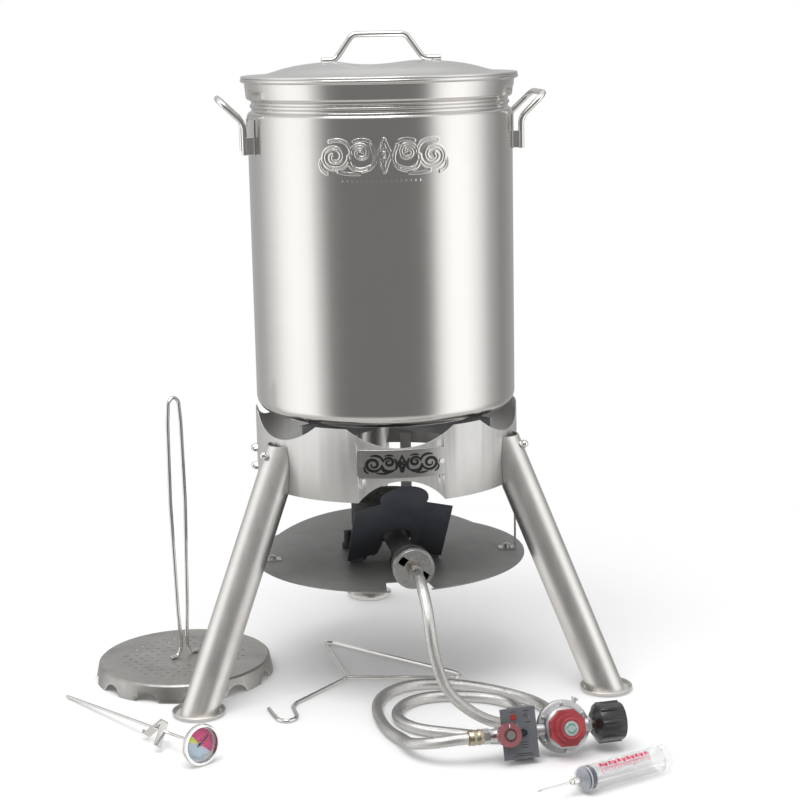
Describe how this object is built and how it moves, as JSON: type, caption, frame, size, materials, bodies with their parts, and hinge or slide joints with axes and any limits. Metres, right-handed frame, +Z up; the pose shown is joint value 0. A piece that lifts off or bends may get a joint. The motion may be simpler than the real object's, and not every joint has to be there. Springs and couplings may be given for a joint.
{
  "type": "outdoor turkey fryer kit",
  "caption": "Tall stockpot with domed lid on a tripod burner stand with windscreen, braided gas hose and regulator, plus poultry rack, lifting hook, thermometer and injector.",
  "frame": {"origin": "on the stand's axis at floor level", "axes": "+Z up, -Y towards the side where the burner's air tube and the name plate are, +X to that side's right"},
  "size_m": [0.7668, 0.8725, 0.8846],
  "materials": {
    "satin_steel": "satin spun stainless sheet",
    "bright_steel": "polished stainless rod",
    "zinc_plate": "bright zinc plate",
    "leg_steel": "polished stainless tube",
    "pan_steel": "grey coated sheet",
    "shield_steel": "dark blue-grey coated sheet",
    "cast_iron": "black enamel",
    "brass": "machined brass",
    "die_cast": "die-cast zinc, slightly rough",
    "braid": "woven steel wire braid",
    "crimp_steel": "crimped steel",
    "dark_steel": "dark grey plate",
    "timer_grey": "grey moulded plastic",
    "black_plastic": "black moulded plastic",
    "maroon_plastic": "maroon moulded plastic",
    "red_plastic": "red moulded plastic",
    "red_lens": "red moulded lens",
    "clear_plastic": "clear moulded plastic",
    "rubber": "black rubber",
    "seal_rubber": "dark blue rubber",
    "rack_alu": "grey stamped sheet",
    "dial": "printed dial card",
    "pointer": "black painted",
    "lens_glass": "clear flat lens"
  },
  "bodies": {
    "stand": {"windscreen_band": "satin_steel", "nameplate": "bright_steel", "nameplate_rivets": "bright_steel", "seam_bolts": "bright_steel", "support_bar_long": "dark_steel", "support_bar_cross": "dark_steel", "leg_left": "leg_steel", "leg_right": "leg_steel", "leg_rear": "leg_steel", "leg_bolts": "bright_steel", "feet": "leg_steel", "heat_pan": "pan_steel", "pan_hangers": "satin_steel", "pan_bolts": "zinc_plate", "heat_shield": "shield_steel", "burner_casting": "cast_iron", "burner_cap": "cast_iron", "orifice_fitting": "brass", "inlet_ferrule": "crimp_steel", "gas_hose": "braid", "outlet_ferrule": "crimp_steel", "valve_body": "brass", "timer_housing": "timer_grey", "timer_plate": "timer_grey", "red_lens": "red_lens", "clear_lens": "clear_plastic", "regulator_body": "die_cast", "regulator_bonnet": "die_cast", "regulator_diaphragm": "rubber", "regulator_spring": "bright_steel", "regulator_vent": "zinc_plate", "inlet_nipple": "brass"},
    "shutter": {"air_shutter": "zinc_plate"},
    "gas_valve": {"valve_knob": "maroon_plastic", "valve_stem": "brass"},
    "button": {"timer_button": "black_plastic"},
    "regulator_knob": {"pressure_knob": "red_plastic", "pressure_knob_cap": "die_cast"},
    "nut": {"coupling_nut": "black_plastic"},
    "pot": {"pot_shell": "satin_steel", "handle_brackets": "satin_steel", "pot_handle_left": "bright_steel", "pot_handle_right": "bright_steel"},
    "lid": {"lid_shell": "satin_steel", "lid_handle": "bright_steel"},
    "rack": {"rack_plate": "rack_alu", "rack_handle": "bright_steel"},
    "hook": {"lifting_hook": "bright_steel"},
    "thermometer": {"thermometer_stem": "bright_steel", "thermometer_case": "bright_steel", "thermometer_dial": "dial", "thermometer_lens": "lens_glass"},
    "needle_pointer": {"thermometer_pointer": "pointer"},
    "clip": {"thermometer_clip": "satin_steel"},
    "injector": {"injector_barrel": "clear_plastic", "needle_hub": "bright_steel", "needle": "bright_steel"},
    "plunger": {"injector_plunger": "clear_plastic", "plunger_seal": "seal_rubber"}
  },
  "joints": [
    {"name": "pot_lift", "type": "slide", "parent": "stand", "child": "pot", "axis": [0, 0, 1], "range_m": [0, 0.3]},
    {"name": "lid_lift", "type": "slide", "parent": "pot", "child": "lid", "axis": [0, 0, 1], "range_m": [0, 0.25]},
    {"name": "air_shutter_turn", "type": "hinge", "parent": "stand", "child": "shutter", "pos_m": [0.00884, -0.21082, 0.2], "axis": [0.0419, -0.9991, 0], "range_deg": [0, 75]},
    {"name": "valve_knob_turn", "type": "hinge", "parent": "stand", "child": "gas_valve", "pos_m": [0.09912, -0.39753, 0.03956], "axis": [0.1324, -0.9418, 0.309], "range_deg": [0, 270]},
    {"name": "timer_button_press", "type": "slide", "parent": "stand", "child": "button", "axis": [-0.1324, 0.9418, -0.309], "range_m": [0, 0.003], "stiffness_N_per_m": 400, "springref_m": -0.001},
    {"name": "pressure_knob_turn", "type": "hinge", "parent": "stand", "child": "regulator_knob", "pos_m": [0.17465, -0.38884, 0.04018], "axis": [0.1324, -0.9418, 0.309], "range_deg": [0, 720]},
    {"name": "coupling_nut_turn", "type": "hinge", "parent": "stand", "child": "nut", "pos_m": [0.22845, -0.36207, 0.034], "axis": [0.9903, 0.1392, 0], "continuous": true},
    {"name": "rack_lift", "type": "slide", "parent": "stand", "child": "rack", "axis": [0, 0, 1], "range_m": [0, 0.12]},
    {"name": "hook_lift", "type": "slide", "parent": "stand", "child": "hook", "axis": [0, 0, 1], "range_m": [0, 0.15]},
    {"name": "thermometer_lift", "type": "slide", "parent": "stand", "child": "thermometer", "axis": [0, 0, 1], "range_m": [0, 0.2]},
    {"name": "pointer_turn", "type": "hinge", "parent": "thermometer", "child": "needle_pointer", "pos_m": [-0.27444, -0.33182, 0.02618], "axis": [0.5624, -0.8235, 0.075], "range_deg": [0, 240]},
    {"name": "clip_slide", "type": "slide", "parent": "thermometer", "child": "clip", "axis": [-0.5624, 0.8235, -0.075], "range_m": [-0.025, 0.14]},
    {"name": "injector_lift", "type": "slide", "parent": "stand", "child": "injector", "axis": [0, 0, 1], "range_m": [0, 0.2]},
    {"name": "plunger_draw", "type": "slide", "parent": "injector", "child": "plunger", "axis": [0.9143, 0.4051, 0], "range_m": [0, 0.085]}
  ]
}
